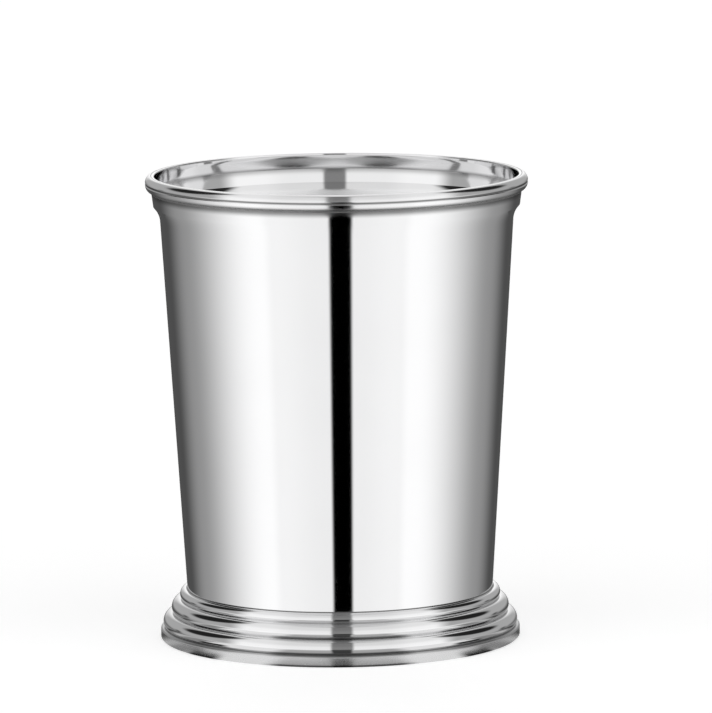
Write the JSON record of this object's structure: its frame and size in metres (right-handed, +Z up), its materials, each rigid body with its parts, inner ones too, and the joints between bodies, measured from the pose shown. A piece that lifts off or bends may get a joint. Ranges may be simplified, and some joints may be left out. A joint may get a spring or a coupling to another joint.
{
  "type": "julep cup",
  "caption": "Polished steel julep cup: tapered spun body with a coved mouth, half-round wire round the rim and a reeded spreading foot.",
  "frame": {"origin": "centre of the standing ring, on the table plane", "axes": "+Z up along the cup's axis from the foot to the mouth; X and Y may be any pair square to it, because the cup is turned about Z"},
  "size_m": [0.0834, 0.0834, 0.102],
  "materials": {
    "cup_steel": "polished",
    "foot_steel": "polished",
    "wire_steel": "polished",
    "braze_metal": "satin"
  },
  "bodies": {
    "root": {"cup_body": "cup_steel", "rim_wire": "wire_steel", "rim_braze": "braze_metal", "foot_skirt": "foot_steel", "foot_braze": "braze_metal", "base_wire": "wire_steel", "base_braze": "braze_metal"}
  },
  "joints": []
}
